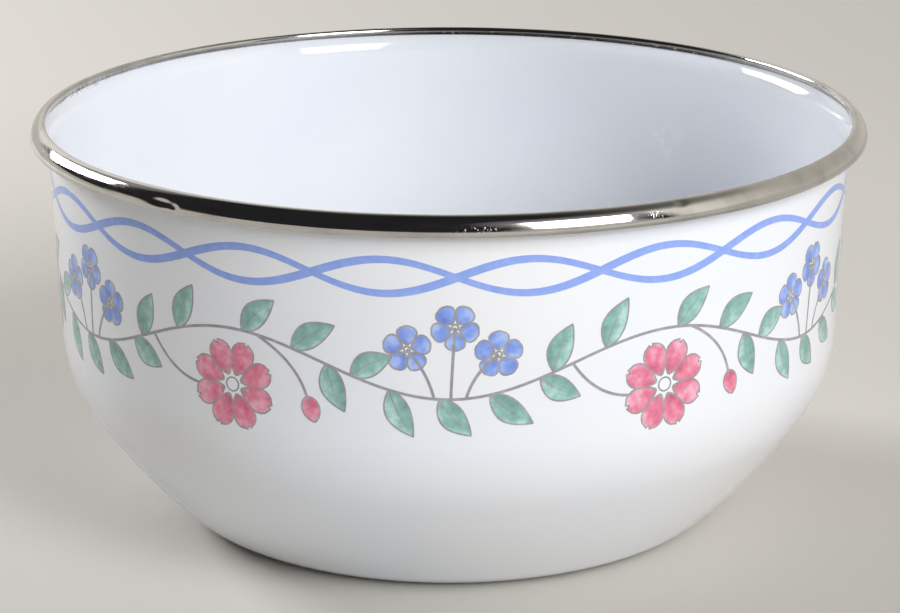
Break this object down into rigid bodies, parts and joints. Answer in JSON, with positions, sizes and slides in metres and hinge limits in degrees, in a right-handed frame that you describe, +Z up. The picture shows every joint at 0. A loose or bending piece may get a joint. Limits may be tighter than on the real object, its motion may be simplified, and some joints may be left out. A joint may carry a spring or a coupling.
{
  "type": "mixing bowl",
  "caption": "Round enamelled steel mixing bowl: steep wall, rounded shoulder, sloping belly, flat base, and a polished stainless band crimped over its flared lip.",
  "frame": {"origin": "centre of the flat base, on the surface that the bowl stands on", "axes": "+Z up along the bowl's axis of revolution, +X to the right and +Y away from the viewer of the picture"},
  "size_m": [0.2116, 0.2116, 0.1037],
  "materials": {
    "enamel": "glossy white vitreous enamel on steel, with a fired print under the rim",
    "stainless": "polished stainless steel, lightly scratched and dented"
  },
  "bodies": {
    "root": {"bowl_shell": "enamel", "rim_band": "stainless"}
  },
  "joints": []
}
